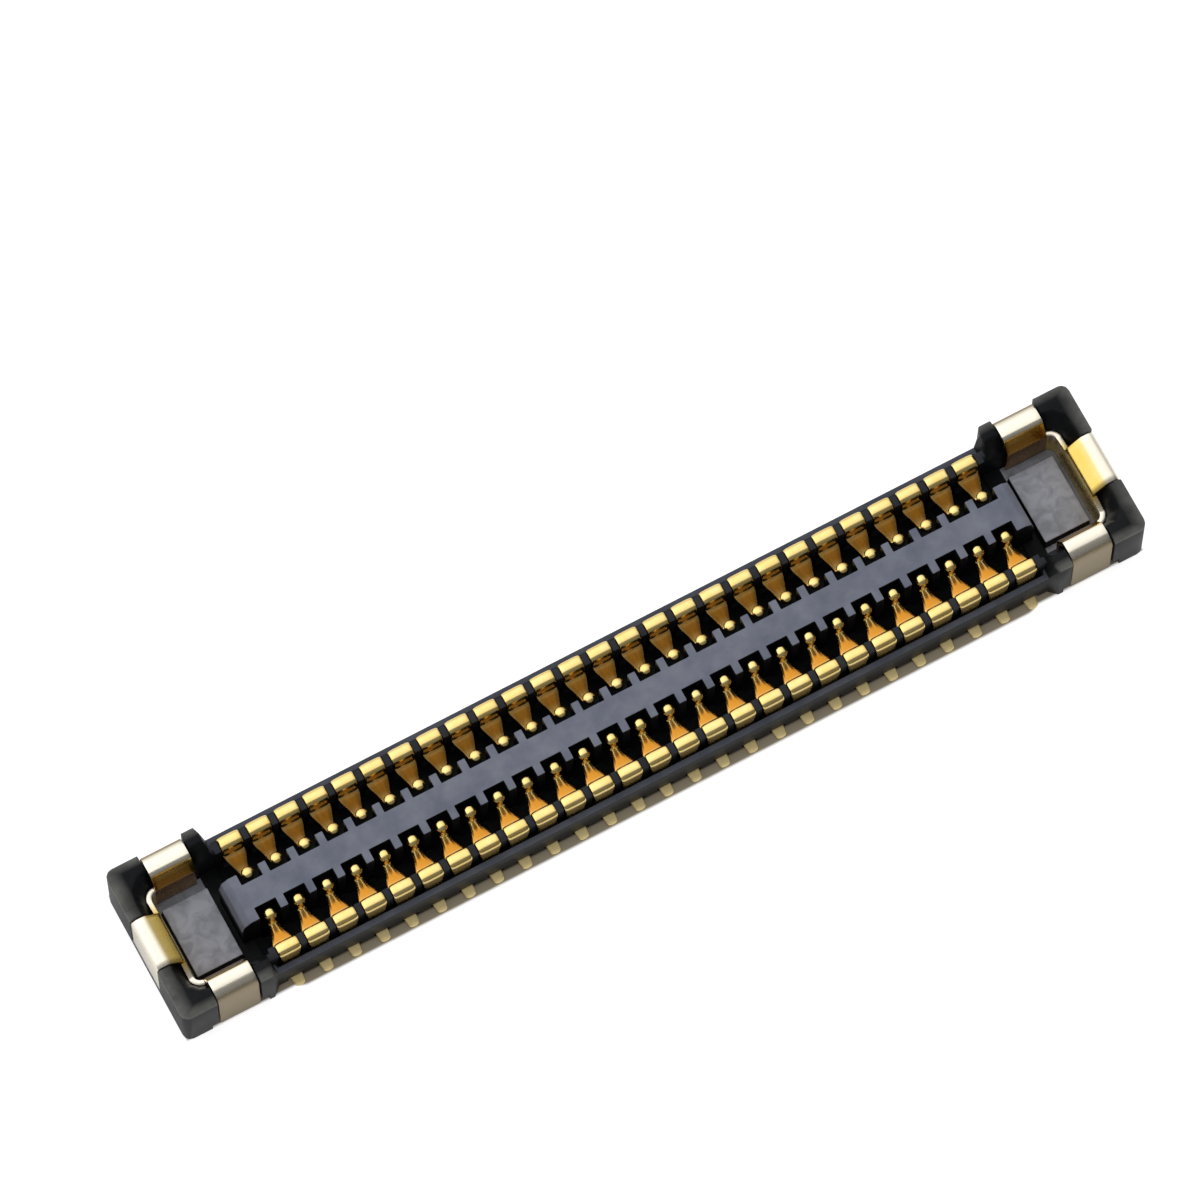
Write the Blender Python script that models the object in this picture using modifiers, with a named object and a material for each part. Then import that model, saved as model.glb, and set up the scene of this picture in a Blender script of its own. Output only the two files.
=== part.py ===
# Board-to-board receptacle for a flexible printed circuit.
# A moulded housing carries two rows of formed strip contacts and a folded fitting in each end pocket.
# X runs along the rows, Y across them and Z up to the mating side; the solder plane is Z = 0.
# In every section below, q is the distance from the centre plane Y = 0 (or X = 0 for an end tab).

import math

import bmesh
import bpy
from mathutils import Matrix, Vector

MM = 0.001

# Rows
CONTACTS_PER_ROW = 27
PITCH = 0.4 * MM
FIT = 0.006 * MM
ROUND_STEPS = 3
BAR_STEPS = 3
CUT_OVER = 0.2 * MM

# Across the row body, from the centre plane outwards
ISLAND_WIDTH = 0.64 * MM
GROOVE_WIDTH = 0.37 * MM
COMB_WALL = 0.15 * MM
RECESS_WIDTH = 0.065 * MM
RIM_WALL = 0.075 * MM
ROW_BODY_BEVEL = 0.03 * MM
SHOULDER_STEP = 0.1 * MM

# Along the connector, past the last contact of a row
RECESS_PAST_BAR = 0.05 * MM
FRAME_WALL = 0.05 * MM
BLOCK_LENGTH = 1.35 * MM
ISLAND_PAST_FRAME = 0.15 * MM

# Heights above the solder plane
GROOVE_FLOOR = 0.085 * MM
RECESS_FLOOR = 0.3 * MM
RIM_TOP = 0.55 * MM
COMB_TOP = 0.77 * MM
ISLAND_TOP = 0.845 * MM
HEIGHT = 1.0 * MM

# Contact strip
STRIP = 0.06 * MM
TAIL_REACH = 0.12 * MM
TAIL_WIDTH = 0.18 * MM
TAIL_BEND = 0.06 * MM
LEG_WIDTH = 0.255 * MM
LEG_PROUD = 0.015 * MM
BAR_WIDTH = 0.3 * MM
BAR_PROUD = 0.03 * MM
INNER_LEG_WIDTH = 0.23 * MM
RUN_DEPTH = 0.22 * MM
RUN_FALL = 0.15 * MM
RUN_WIDTH = 0.28 * MM
ARM_OUT = 0.01 * MM
ARM_BEND = 0.05 * MM
ARM_FOOT_WIDTH = 0.16 * MM
ARM_NECK_WIDTH = 0.09 * MM
TIP_IN = 0.02 * MM
TIP_DOWN = 0.05 * MM
TIP_BEND = 0.05 * MM
TIP_WIDTH = 0.14 * MM
TIP_END_WIDTH = 0.09 * MM
TIP_TURNS_DEG = (-20.0, 60.0, 140.0)

# Seats of the contacts
LEG_CLEAR = 0.015 * MM
TAIL_SLOT_GAP = 0.01 * MM
TAIL_HEADROOM = 0.04 * MM
POCKET_WIDTH = 0.295 * MM
POCKET_DEPTH = 0.153 * MM
HOLE_WEB = 0.144 * MM
HOLE_OUT = 0.034 * MM
ISLAND_END_RUN = 0.13 * MM
ISLAND_END_DROP = 0.245 * MM
ISLAND_END_STEPS = 2

# End blocks
BLOCK_LEAN = 0.07 * MM
SHOULDER_RUN = 0.105 * MM
CORNER_RADIUS = 0.11 * MM
TOP_BEVEL = 0.03 * MM
BOTTOM_BEVEL = 0.015 * MM
END_POCKET_FLOOR = 0.12 * MM
END_POCKET_STEP = 0.025 * MM
END_WALL = 0.32 * MM
LEAD_IN_DEPTH = 0.33 * MM
LEAD_IN = 0.15 * MM
PLATEAU_GAP = 0.07 * MM
PLATEAU_END_GAP = 0.14 * MM
PLATEAU_SIDE_GAP = 0.21 * MM
PLATEAU_TOP = 0.33 * MM
PLATEAU_BEVEL = 0.02 * MM

# Fitting sheet
SHEET = 0.07 * MM
BAND_CORNER = 0.13 * MM
END_TAB_WIDTH = 0.7 * MM
END_TAB_FOOT = 0.15 * MM
SIDE_TAB_INSET = 0.295 * MM
SIDE_TAB_FOOT = 0.0 * MM
TAB_DOWN = 0.015 * MM
TAB_BEND = 0.05 * MM
TAB_LEAD_PAST = 0.025 * MM
TAB_INNER_RUN = 0.04 * MM
TAB_SIDE_GAP = 0.02 * MM
END_TAB_SET_IN = 0.005 * MM
SIDE_TAB_SET_IN = 0.02 * MM
FOOT_NOTCH_MARGIN = 0.1 * MM
FOOT_NOTCH_DEPTH = 0.29 * MM
FOOT_NOTCH_TOP = 0.18 * MM

# Underside lines and gate mark
LINE_WIDTH = 0.03 * MM
LINE_DEPTH = 0.02 * MM
LONG_LINE_IN = 0.02 * MM
CROSS_LINE_OUT = 0.01 * MM
MARK_PAST_FRAME = 0.59 * MM
MARK_SIZE = 0.56 * MM
MARK_RADIUS = 0.12 * MM
MARK_STEPS = 2
DIMPLE_RADIUS = 0.125 * MM
DIMPLE_DEPTH = 0.05 * MM
DIMPLE_TAPER = 0.0375 * MM
DIMPLE_SIDES = 10

# Distances from the centre plane Y = 0
ISLAND_SIDE = ISLAND_WIDTH / 2
COMB_INNER = ISLAND_SIDE + GROOVE_WIDTH
COMB_MID = COMB_INNER + COMB_WALL / 2
COMB_OUTER = COMB_INNER + COMB_WALL
RIM_INNER = COMB_OUTER + RECESS_WIDTH
ROW_BODY_SIDE = RIM_INNER + RIM_WALL
BLOCK_SIDE = ROW_BODY_SIDE + SHOULDER_STEP
END_POCKET_SIDE = COMB_INNER + END_POCKET_STEP
BAR_BEND = COMB_WALL / 2 + LEG_PROUD - STRIP / 2
OUTER_LEG = COMB_MID + BAR_BEND
INNER_LEG = COMB_MID - BAR_BEND
TAIL_END = ROW_BODY_SIDE + TAIL_REACH
ARM_FOOT = ISLAND_SIDE + ARM_OUT
TIP_Q = ISLAND_SIDE - TIP_IN

# Distances from the centre plane X = 0
ROW_START = -(CONTACTS_PER_ROW - 1) / 2 * PITCH
RECESS_END = -ROW_START + BAR_WIDTH / 2 + RECESS_PAST_BAR
BLOCK_START = RECESS_END + FRAME_WALL
BLOCK_END = BLOCK_START + BLOCK_LENGTH
ISLAND_END = BLOCK_START + ISLAND_PAST_FRAME
END_POCKET_END = BLOCK_END - END_WALL
PLATEAU_START = ISLAND_END + PLATEAU_GAP
PLATEAU_END = END_POCKET_END - PLATEAU_END_GAP
MARK_X = -(BLOCK_START + MARK_PAST_FRAME)

# Heights and centrelines that follow
BAR_TOP = COMB_TOP + BAR_PROUD
BAR_CENTRE_Z = BAR_TOP - STRIP / 2 - BAR_BEND * math.cos(math.pi / (2 * BAR_STEPS))
RUN_HIGH = BAR_TOP - RUN_DEPTH
RUN_LOW = RUN_HIGH - RUN_FALL
TIP_CENTRE_Z = ISLAND_TOP - TIP_DOWN - STRIP / 2 - TIP_BEND
LEAD_IN_START = HEIGHT - LEAD_IN_DEPTH
TAB_TOP = HEIGHT - TAB_DOWN
BAND_END = END_POCKET_END - FIT - SHEET / 2
BAND_SIDE = END_POCKET_SIDE - FIT - SHEET / 2
BAND_CORNER_CENTRE = (BAND_END - BAND_CORNER, BAND_SIDE - BAND_CORNER)
SIDE_TAB_START = BLOCK_START + SIDE_TAB_INSET
SIDE_TAB_END = BAND_CORNER_CENTRE[0]
END_TAB_OUTER = BLOCK_END - END_TAB_SET_IN - SHEET / 2
SIDE_TAB_OUTER = BLOCK_SIDE - SIDE_TAB_SET_IN - SHEET / 2


def collection(name):
    made = bpy.data.collections.new(name)
    bpy.context.scene.collection.children.link(made)
    return made


def principled(name, colour, roughness, metallic):
    material = bpy.data.materials.new(name)
    material.use_nodes = True
    shader = material.node_tree.nodes["Principled BSDF"]
    shader.inputs["Base Color"].default_value = (*colour, 1.0)
    shader.inputs["Roughness"].default_value = roughness
    shader.inputs["Metallic"].default_value = metallic
    return material


def add_object(name, mesh, group, material=None):
    made = bpy.data.objects.new(name, mesh)
    group.objects.link(made)
    if material:
        mesh.materials.append(material)
    return made


def finish_mesh(name, bm):
    bmesh.ops.recalc_face_normals(bm, faces=bm.faces)
    mesh = bpy.data.meshes.new(name)
    bm.to_mesh(mesh)
    bm.free()
    return mesh


# Sections stand on end: the first goes across Y and the second along X
ACROSS = Matrix(((0, 0, 1), (1, 0, 0), (0, 1, 0))).to_4x4()
ALONG = Matrix(((1, 0, 0), (0, 0, -1), (0, 1, 0))).to_4x4()


def box_mesh(name, low, high, top_inset=0.0):
    """A box between two corners, with its top face drawn in on all four sides."""
    low, high = Vector(low), Vector(high)
    bm = bmesh.new()
    size = high - low
    place = Matrix.Translation((low + high) / 2) @ Matrix.Diagonal((*size, 1.0))
    bmesh.ops.create_cube(bm, size=1.0, matrix=place)
    for vert in bm.verts:
        if vert.co.z > (low.z + high.z) / 2:
            vert.co.x -= math.copysign(top_inset, vert.co.x - (low.x + high.x) / 2)
            vert.co.y -= math.copysign(top_inset, vert.co.y - (low.y + high.y) / 2)
    return finish_mesh(name, bm)


def extruded(name, outline, depth, start=0.0, frame=None):
    """A flat outline filled and pulled out along its normal from start by depth."""
    bm = bmesh.new()
    face = bm.faces.new([bm.verts.new((u, v, start)) for u, v in outline])
    pulled = bmesh.ops.extrude_face_region(bm, geom=[face])
    moved = [item for item in pulled["geom"] if isinstance(item, bmesh.types.BMVert)]
    bmesh.ops.translate(bm, vec=(0, 0, depth), verts=moved)
    if frame:
        bmesh.ops.transform(bm, matrix=frame, verts=bm.verts)
    return finish_mesh(name, bm)


def lofted(name, sections):
    """A closed solid through outlines of one point count, each given with its height."""
    bm = bmesh.new()
    rings = [[bm.verts.new((x, y, z)) for x, y in outline] for outline, z in sections]
    for lower, upper in zip(rings, rings[1:]):
        for i in range(len(lower)):
            j = (i + 1) % len(lower)
            bm.faces.new((lower[i], lower[j], upper[j], upper[i]))
    bm.faces.new(rings[0])
    bm.faces.new(rings[-1])
    return finish_mesh(name, bm)


def arc(centre, radius, first_deg, last_deg, steps):
    """Points on an arc, both ends included."""
    turns = [first_deg + (last_deg - first_deg) * i / steps for i in range(steps + 1)]
    return [
        (centre[0] + radius * math.cos(math.radians(a)), centre[1] + radius * math.sin(math.radians(a)))
        for a in turns
    ]


def offset_path(points, distance):
    """An open path moved sideways to its left by distance, with mitred corners."""
    points = [Vector(p) for p in points]
    runs = [(b - a).normalized() for a, b in zip(points, points[1:])]
    lefts = [Vector((-run.y, run.x)) for run in runs]
    moved = [points[0] + lefts[0] * distance]
    for point, before, after in zip(points[1:], lefts, lefts[1:]):
        middle = (before + after).normalized()
        moved.append(point + middle * (distance / middle.dot(before)))
    moved.append(points[-1] + lefts[-1] * distance)
    return [tuple(p) for p in moved]


def offset_outline(points, distance):
    """A closed outline, drawn counter-clockwise, grown by distance."""
    wrapped = [points[-1], *points, points[0]]
    return offset_path(wrapped, -distance)[1:-1]


def boolean(target, operation, other):
    modifier = target.modifiers.new(other.name, "BOOLEAN")
    modifier.operation = operation
    modifier.solver = "EXACT"
    modifier.object = other


def cutter(name, mesh, group):
    made = add_object(name, mesh, group)
    made.hide_render = True
    made.display_type = "WIRE"
    return made


def repeated_pair(name, mesh, group):
    """Two row cutters, rear and front, each an array along its own row."""
    pair = []
    for row, turn in (("rear", 0.0), ("front", math.pi)):
        made = cutter(f"{name}_{row}", mesh, group)
        made.rotation_euler.z = turn
        made.location.x = ROW_START * math.cos(turn)
        array = made.modifiers.new("row", "ARRAY")
        array.count = CONTACTS_PER_ROW
        array.use_relative_offset = False
        array.use_constant_offset = True
        array.constant_offset_displace = (PITCH, 0, 0)
        array.use_merge_vertices = False
        pair.append(made)
    return pair


def turned_pair(name, mesh, group):
    """The same cutter at the right end and, turned half round, at the left end."""
    pair = []
    for side, turn in (("right", 0.0), ("left", math.pi)):
        made = cutter(f"{name}_{side}", mesh, group)
        made.rotation_euler.z = turn
        pair.append(made)
    return pair


def contact_stations():
    """The strip's centreline as (q, z, width), from the tail's end to the spring tip."""
    half = STRIP / 2
    tail_bend = arc((OUTER_LEG + TAIL_BEND, half + TAIL_BEND), TAIL_BEND, 270, 180, 1)
    bar = arc((COMB_MID, BAR_CENTRE_Z), BAR_BEND, 0, 180, BAR_STEPS)
    stations = [(TAIL_END, half, TAIL_WIDTH)]
    stations += [(q, z, TAIL_WIDTH) for q, z in tail_bend]
    stations += [(*bar[0], LEG_WIDTH)] + [(q, z, BAR_WIDTH) for q, z in bar[1:-1]]
    stations += [(*bar[-1], INNER_LEG_WIDTH)]
    stations += [(INNER_LEG, RUN_HIGH, RUN_WIDTH), (ARM_FOOT + ARM_BEND, RUN_LOW, ARM_FOOT_WIDTH)]
    stations += [(ARM_FOOT, RUN_LOW + ARM_BEND, ARM_NECK_WIDTH)]
    for turn, width in zip(TIP_TURNS_DEG, (ARM_NECK_WIDTH, TIP_WIDTH, TIP_END_WIDTH)):
        angle = math.radians(turn)
        place = (TIP_Q + TIP_BEND * math.cos(angle), TIP_CENTRE_Z + TIP_BEND * math.sin(angle))
        stations.append((*place, width))
    return stations


def leg_width_at(height):
    """The outer leg widens evenly from the tail's bend up to the bar."""
    low, high = STRIP / 2 + TAIL_BEND, BAR_CENTRE_Z
    return TAIL_WIDTH + (LEG_WIDTH - TAIL_WIDTH) * (height - low) / (high - low)


def contact_mesh():
    """The flat strip pulled station by station along its bent centreline."""
    bm = bmesh.new()
    stations = contact_stations()
    q, z, width = stations[0]
    edge = bm.edges.new([bm.verts.new((side * width / 2, q, z)) for side in (-1, 1)])
    for q, z, width in stations[1:]:
        pulled = bmesh.ops.extrude_edge_only(bm, edges=[edge])["geom"]
        edge = next(item for item in pulled if isinstance(item, bmesh.types.BMEdge))
        for vert in edge.verts:
            vert.co = (math.copysign(width / 2, vert.co.x), q, z)
    return finish_mesh("contact_strip", bm)


def solidify(made, thickness):
    modifier = made.modifiers.new("sheet", "SOLIDIFY")
    modifier.thickness = thickness
    modifier.offset = 0.0
    modifier.use_even_offset = True


def build_contacts(group, root, material):
    mesh = contact_mesh()
    mesh.materials.append(material)
    for row, turn in (("front", math.pi), ("rear", 0.0)):
        for number in range(CONTACTS_PER_ROW):
            made = add_object(f"contact_{row}_{number + 1:02d}", mesh, group)
            made.location.x = ROW_START + number * PITCH
            made.rotation_euler.z = turn
            made.parent = root
            solidify(made, STRIP)


def tab_path(band_q, outer_q, foot_z):
    """A tab's centreline as (q, z): up the band, over the wall on its lead-in and down outside."""
    top = TAB_TOP - SHEET / 2
    shoulder = band_q + LEAD_IN * (top - TAB_BEND - LEAD_IN_START) / LEAD_IN_DEPTH + TAB_LEAD_PAST
    return [
        (band_q, LEAD_IN_START),
        (shoulder, top - TAB_BEND),
        (shoulder + TAB_INNER_RUN, top),
        (outer_q - TAB_BEND, top),
        (outer_q, top - TAB_BEND),
        (outer_q, foot_z),
    ]


def end_tab_path():
    return tab_path(BAND_END, END_TAB_OUTER, END_TAB_FOOT)


def side_tab_path():
    return tab_path(BAND_SIDE, SIDE_TAB_OUTER, SIDE_TAB_FOOT)


def band_points():
    """The band's centreline in plan at the right end, from the front side tab round to the rear one."""
    rear = [(BAND_END, END_TAB_WIDTH / 2)]
    rear += arc(BAND_CORNER_CENTRE, BAND_CORNER, 0, 90, ROUND_STEPS)
    rear += [(SIDE_TAB_START, BAND_SIDE)]
    return [(x, -y) for x, y in reversed(rear)] + rear


def pull_tab(bm, edge, path, direction):
    """Folds a tab out of a band edge: each path point is reached by pulling the edge once more."""
    for (q0, z0), (q1, z1) in zip(path, path[1:]):
        pulled = bmesh.ops.extrude_edge_only(bm, edges=[edge])["geom"]
        edge = next(item for item in pulled if isinstance(item, bmesh.types.BMEdge))
        step = Vector(direction) * (q1 - q0) + Vector((0, 0, z1 - z0))
        bmesh.ops.translate(bm, vec=step, verts=edge.verts)


def fitting_mesh():
    """One sheet: a C-shaped band inside the end pocket with three tabs folded over the walls."""
    bm = bmesh.new()
    low = END_POCKET_FLOOR + FIT
    verts = [bm.verts.new((x, y, low)) for x, y in band_points()]
    chain = [bm.edges.new(pair) for pair in zip(verts, verts[1:])]
    pulled = bmesh.ops.extrude_edge_only(bm, edges=chain)["geom"]
    tops = [item for item in pulled if isinstance(item, bmesh.types.BMEdge)]
    raised = {vert for edge in tops for vert in edge.verts}
    bmesh.ops.translate(bm, vec=(0, 0, LEAD_IN_START - low), verts=list(raised))
    end_edges, side_edges = [], []
    for edge in tops:
        middle = (edge.verts[0].co + edge.verts[1].co) / 2
        if abs(middle.y) < END_TAB_WIDTH / 2:
            end_edges.append(edge)
        elif middle.x < SIDE_TAB_END:
            side_edges.append((edge, math.copysign(1.0, middle.y)))
    for edge in end_edges:
        pull_tab(bm, edge, end_tab_path(), (1, 0, 0))
    for edge, side in side_edges:
        pull_tab(bm, edge, side_tab_path(), (0, side, 0))
    return finish_mesh("end_fitting", bm)


def build_fittings(group, root, material):
    mesh = fitting_mesh()
    mesh.materials.append(material)
    for name, turn in (("fitting_right", 0.0), ("fitting_left", math.pi)):
        made = add_object(name, mesh, group)
        made.rotation_euler.z = turn
        made.parent = root
        solidify(made, SHEET)


def row_body_section():
    """The low body between the blocks, seen along X."""
    side, foot = ROW_BODY_SIDE, ROW_BODY_SIDE - ROW_BODY_BEVEL
    right = [(foot, 0), (side, ROW_BODY_BEVEL), (side, RIM_TOP)]
    return right + [(-q, z) for q, z in reversed(right)]


def block_outline(lean=0.0):
    """The right end block in plan, counter-clockwise, with rounded outer corners and sloped shoulders."""
    centre = (BLOCK_END - CORNER_RADIUS, BLOCK_SIDE - CORNER_RADIUS)
    rear = arc(centre, CORNER_RADIUS, 0, 90, ROUND_STEPS)
    rear += [(BLOCK_START + SHOULDER_RUN, BLOCK_SIDE), (BLOCK_START + lean, ROW_BODY_SIDE)]
    return [(x, -y) for x, y in reversed(rear)] + rear


def end_pocket_outline():
    """The right end pocket in plan, open towards the groove, with the band's corner radius outside it."""
    radius = BAND_CORNER + SHEET / 2 + FIT
    centre = (END_POCKET_END - radius, END_POCKET_SIDE - radius)
    rear = arc(centre, radius, 0, 90, ROUND_STEPS) + [(BLOCK_START - FIT, END_POCKET_SIDE)]
    return [(x, -y) for x, y in reversed(rear)] + rear


def end_pocket_mesh():
    straight = end_pocket_outline()
    flare = LEAD_IN * (LEAD_IN_DEPTH + CUT_OVER) / LEAD_IN_DEPTH
    flared = [(max(x, BLOCK_START - FIT), y) for x, y in offset_outline(straight, flare)]
    low, high = END_POCKET_FLOOR, HEIGHT + CUT_OVER
    return lofted("end_pocket", [(straight, low), (straight, LEAD_IN_START), (flared, high)])


def block_mesh():
    """The end block: chamfered foot, upright sides, an inner face that leans back and a bevelled top."""
    foot, head = block_outline(), block_outline(BLOCK_LEAN)
    levels = [(foot, -BOTTOM_BEVEL, 0.0), (foot, 0.0, BOTTOM_BEVEL), (foot, 0.0, RIM_TOP)]
    levels += [(head, 0.0, HEIGHT - TOP_BEVEL), (head, -TOP_BEVEL, HEIGHT)]
    return lofted("end_block", [(offset_outline(outline, grow), z) for outline, grow, z in levels])


def peg_slot_outline():
    """What is cut round the square peg inside the contact's upside-down U, as (q, z)."""
    bar = arc((COMB_MID, BAR_CENTRE_Z), BAR_BEND, 0, 180, BAR_STEPS)
    centreline = [(OUTER_LEG, RECESS_FLOOR), *bar, (INNER_LEG, GROOVE_FLOOR)]
    clear = offset_path(centreline, STRIP / 2 + FIT)
    reach = COMB_WALL / 2 + LEG_PROUD + LEG_CLEAR
    outer, inner, top = COMB_MID + reach, COMB_MID - reach, BAR_TOP + CUT_OVER
    return [*clear[:2], *clear[-2:], (inner, GROOVE_FLOOR), (inner, top), (outer, top), (outer, RECESS_FLOOR)]


def tail_slot_outline():
    """The contact's way down through the floor and out under the rim, as (q, z)."""
    inner = OUTER_LEG - STRIP / 2 - FIT
    outer = OUTER_LEG + STRIP / 2 + FIT
    far, top, head = TAIL_END + CUT_OVER, RECESS_FLOOR + STRIP, STRIP + TAIL_HEADROOM
    return [(inner, -CUT_OVER), (far, -CUT_OVER), (far, head), (outer, head), (outer, top), (inner, top)]


def spring_pocket_outline():
    """The pocket that the spring tip stands in, widening down to the hole under it, as (q, z)."""
    web, foot, outer = ISLAND_SIDE - POCKET_DEPTH, HOLE_WEB / 2, ISLAND_SIDE + HOLE_OUT
    over = (web - foot) * CUT_OVER / ISLAND_TOP
    top = ISLAND_TOP + CUT_OVER
    return [(foot - over, -CUT_OVER), (outer, -CUT_OVER), (outer, top), (web + over, top)]


def saddle_outline(path, foot_z):
    """What is cut over and outside a tab's seat: its inner face moved clear of the wall, as (q, z)."""
    seat = offset_path(path, -(SHEET / 2 + FIT))
    seat[-1] = (seat[-1][0], foot_z)
    far, top = path[-1][0] + CUT_OVER, HEIGHT + CUT_OVER
    near = path[0][0] - SHEET
    return [*seat, (far, foot_z), (far, top), (near, top), (near, seat[0][1])]


def centred_extrusion(name, outline, width, frame):
    return extruded(name, outline, width, -width / 2, frame)


def four_corners(name, outline, start, end, group):
    """A cutter between two X places, repeated at both ends and on both sides."""
    right = extruded(name, outline, end - start, start, ACROSS)
    left = extruded(name, outline, end - start, -end, ACROSS)
    return turned_pair(f"{name}_a", right, group) + turned_pair(f"{name}_b", left, group)


def rounded_square(size, radius, steps):
    half = size / 2 - radius
    corners = ((half, half, 0), (-half, half, 90), (-half, -half, 180), (half, -half, 270))
    points = []
    for x, y, turn in corners:
        points += arc((x, y), radius, turn, turn + 90, steps)
    return points


def mark_line_mesh():
    """The gate mark's outline as a thin wall, ready for Solidify."""
    bm = bmesh.new()
    outline = rounded_square(MARK_SIZE, MARK_RADIUS, MARK_STEPS)
    verts = [bm.verts.new((MARK_X + x, y, -LINE_DEPTH)) for x, y in outline]
    loop = [bm.edges.new((verts[i - 1], verts[i])) for i in range(len(verts))]
    pulled = bmesh.ops.extrude_edge_only(bm, edges=loop)["geom"]
    moved = [item for item in pulled if isinstance(item, bmesh.types.BMVert)]
    bmesh.ops.translate(bm, vec=(0, 0, 2 * LINE_DEPTH), verts=moved)
    return finish_mesh("gate_line", bm)


def dimple_mesh():
    """A shallow tapered pit at the middle of the gate mark, as wide as named where it meets the face."""
    bm = bmesh.new()
    low, high = DIMPLE_RADIUS + DIMPLE_TAPER, DIMPLE_RADIUS - DIMPLE_TAPER
    place = Matrix.Translation((MARK_X, 0, 0))
    depth = 2 * DIMPLE_DEPTH
    bmesh.ops.create_cone(
        bm, cap_ends=True, segments=DIMPLE_SIDES, radius1=low, radius2=high, depth=depth, matrix=place
    )
    return finish_mesh("gate_dimple", bm)


def island_profile():
    """The island seen across the rows, as (x, z): upright ends whose tops fall away on part of an ellipse."""
    turns = [math.pi / 2 * i / ISLAND_END_STEPS for i in range(ISLAND_END_STEPS + 1)]
    foot_z = ISLAND_TOP - ISLAND_END_DROP
    foot_x = ISLAND_END - ISLAND_END_RUN
    right = [(ISLAND_END, GROOVE_FLOOR / 2)]
    right += [(foot_x + ISLAND_END_RUN * math.cos(a), foot_z + ISLAND_END_DROP * math.sin(a)) for a in turns]
    return right + [(-x, z) for x, z in reversed(right)]


def joined_shapes(group):
    """The solids that the moulding is joined from after its cavities are cut."""
    side = END_POCKET_SIDE - PLATEAU_SIDE_GAP
    low, high = (PLATEAU_START, -side, GROOVE_FLOOR / 2), (PLATEAU_END, side, PLATEAU_TOP)
    island = centred_extrusion("island", island_profile(), ISLAND_WIDTH, ALONG)
    plateau = box_mesh("plateau", low, high, PLATEAU_BEVEL)
    return [cutter("island", island, group), *turned_pair("plateau", plateau, group)]


def cavity_cutters(group):
    """Groove, end pockets and the recesses between comb wall and rim."""
    over = HEIGHT + CUT_OVER
    reach = BLOCK_START + FIT
    groove = box_mesh("groove", (-reach, -COMB_INNER, GROOVE_FLOOR), (reach, COMB_INNER, over))
    recess = box_mesh("recess", (-RECESS_END, COMB_OUTER, RECESS_FLOOR), (RECESS_END, RIM_INNER, over))
    made = [cutter("groove", groove, group)]
    made += turned_pair("end_pocket", end_pocket_mesh(), group)
    made += turned_pair("recess", recess, group)
    return made


def seat_cutters(group):
    """Seats of the contacts and of the fittings."""
    made = []
    slot_width = leg_width_at(RECESS_FLOOR) + 2 * TAIL_SLOT_GAP
    for name, outline, width in (
        ("peg_slot", peg_slot_outline(), BAR_WIDTH + 2 * FIT),
        ("tail_slot", tail_slot_outline(), slot_width),
        ("spring_pocket", spring_pocket_outline(), POCKET_WIDTH),
    ):
        made += repeated_pair(name, centred_extrusion(name, outline, width, ACROSS), group)
    end_outline = saddle_outline(end_tab_path(), END_TAB_FOOT - FIT)
    end_width = END_TAB_WIDTH + 2 * TAB_SIDE_GAP
    made += turned_pair("end_saddle", centred_extrusion("end_saddle", end_outline, end_width, ALONG), group)
    side_outline = saddle_outline(side_tab_path(), -CUT_OVER)
    start, end = SIDE_TAB_START - TAB_SIDE_GAP, SIDE_TAB_END + TAB_SIDE_GAP
    near, far = start - FOOT_NOTCH_MARGIN, end + FOOT_NOTCH_MARGIN
    made += four_corners("side_saddle", side_outline, start, end, group)
    inner, outer, low, top = BLOCK_SIDE - FOOT_NOTCH_DEPTH, BLOCK_SIDE + CUT_OVER, -CUT_OVER, FOOT_NOTCH_TOP
    notch = [(inner, low), (outer, low), (outer, top), (inner, top)]
    return made + four_corners("foot_notch", notch, near, far, group)


def underside_cutters(group):
    """Moulding lines and the gate mark on the solder side."""
    half, long_q, cross_x = LINE_WIDTH / 2, COMB_MID - LONG_LINE_IN, BLOCK_START - CROSS_LINE_OUT
    long_low = (-RECESS_END, long_q - half, -LINE_DEPTH)
    long_line = box_mesh("long_line", long_low, (RECESS_END, long_q + half, LINE_DEPTH))
    cross_side = ROW_BODY_SIDE - ROW_BODY_BEVEL
    cross_low = (cross_x - half, -cross_side, -LINE_DEPTH)
    cross_line = box_mesh("cross_line", cross_low, (cross_x + half, cross_side, LINE_DEPTH))
    mark_line = cutter("gate_line", mark_line_mesh(), group)
    solidify(mark_line, LINE_WIDTH)
    made = turned_pair("long_line", long_line, group) + turned_pair("cross_line", cross_line, group)
    return made + [mark_line, cutter("gate_dimple", dimple_mesh(), group)]


def build_housing(group, cutters, root, material):
    """The moulding: row body, blocks and comb walls, then cavities, island, seats and underside lines."""
    reach = BLOCK_START + SHOULDER_RUN
    body = extruded("row_body", row_body_section(), 2 * reach, -reach, ACROSS)
    housing = add_object("housing", body, group, material)
    housing.parent = root
    inner = COMB_INNER - COMB_WALL / 2
    comb = box_mesh("comb_wall", (-reach, inner, GROOVE_FLOOR / 2), (reach, COMB_OUTER, COMB_TOP))
    for other in turned_pair("end_block", block_mesh(), cutters) + turned_pair("comb_wall", comb, cutters):
        boolean(housing, "UNION", other)
    for other in cavity_cutters(cutters):
        boolean(housing, "DIFFERENCE", other)
    for other in joined_shapes(cutters):
        boolean(housing, "UNION", other)
    for other in seat_cutters(cutters) + underside_cutters(cutters):
        boolean(housing, "DIFFERENCE", other)
    return housing


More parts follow.
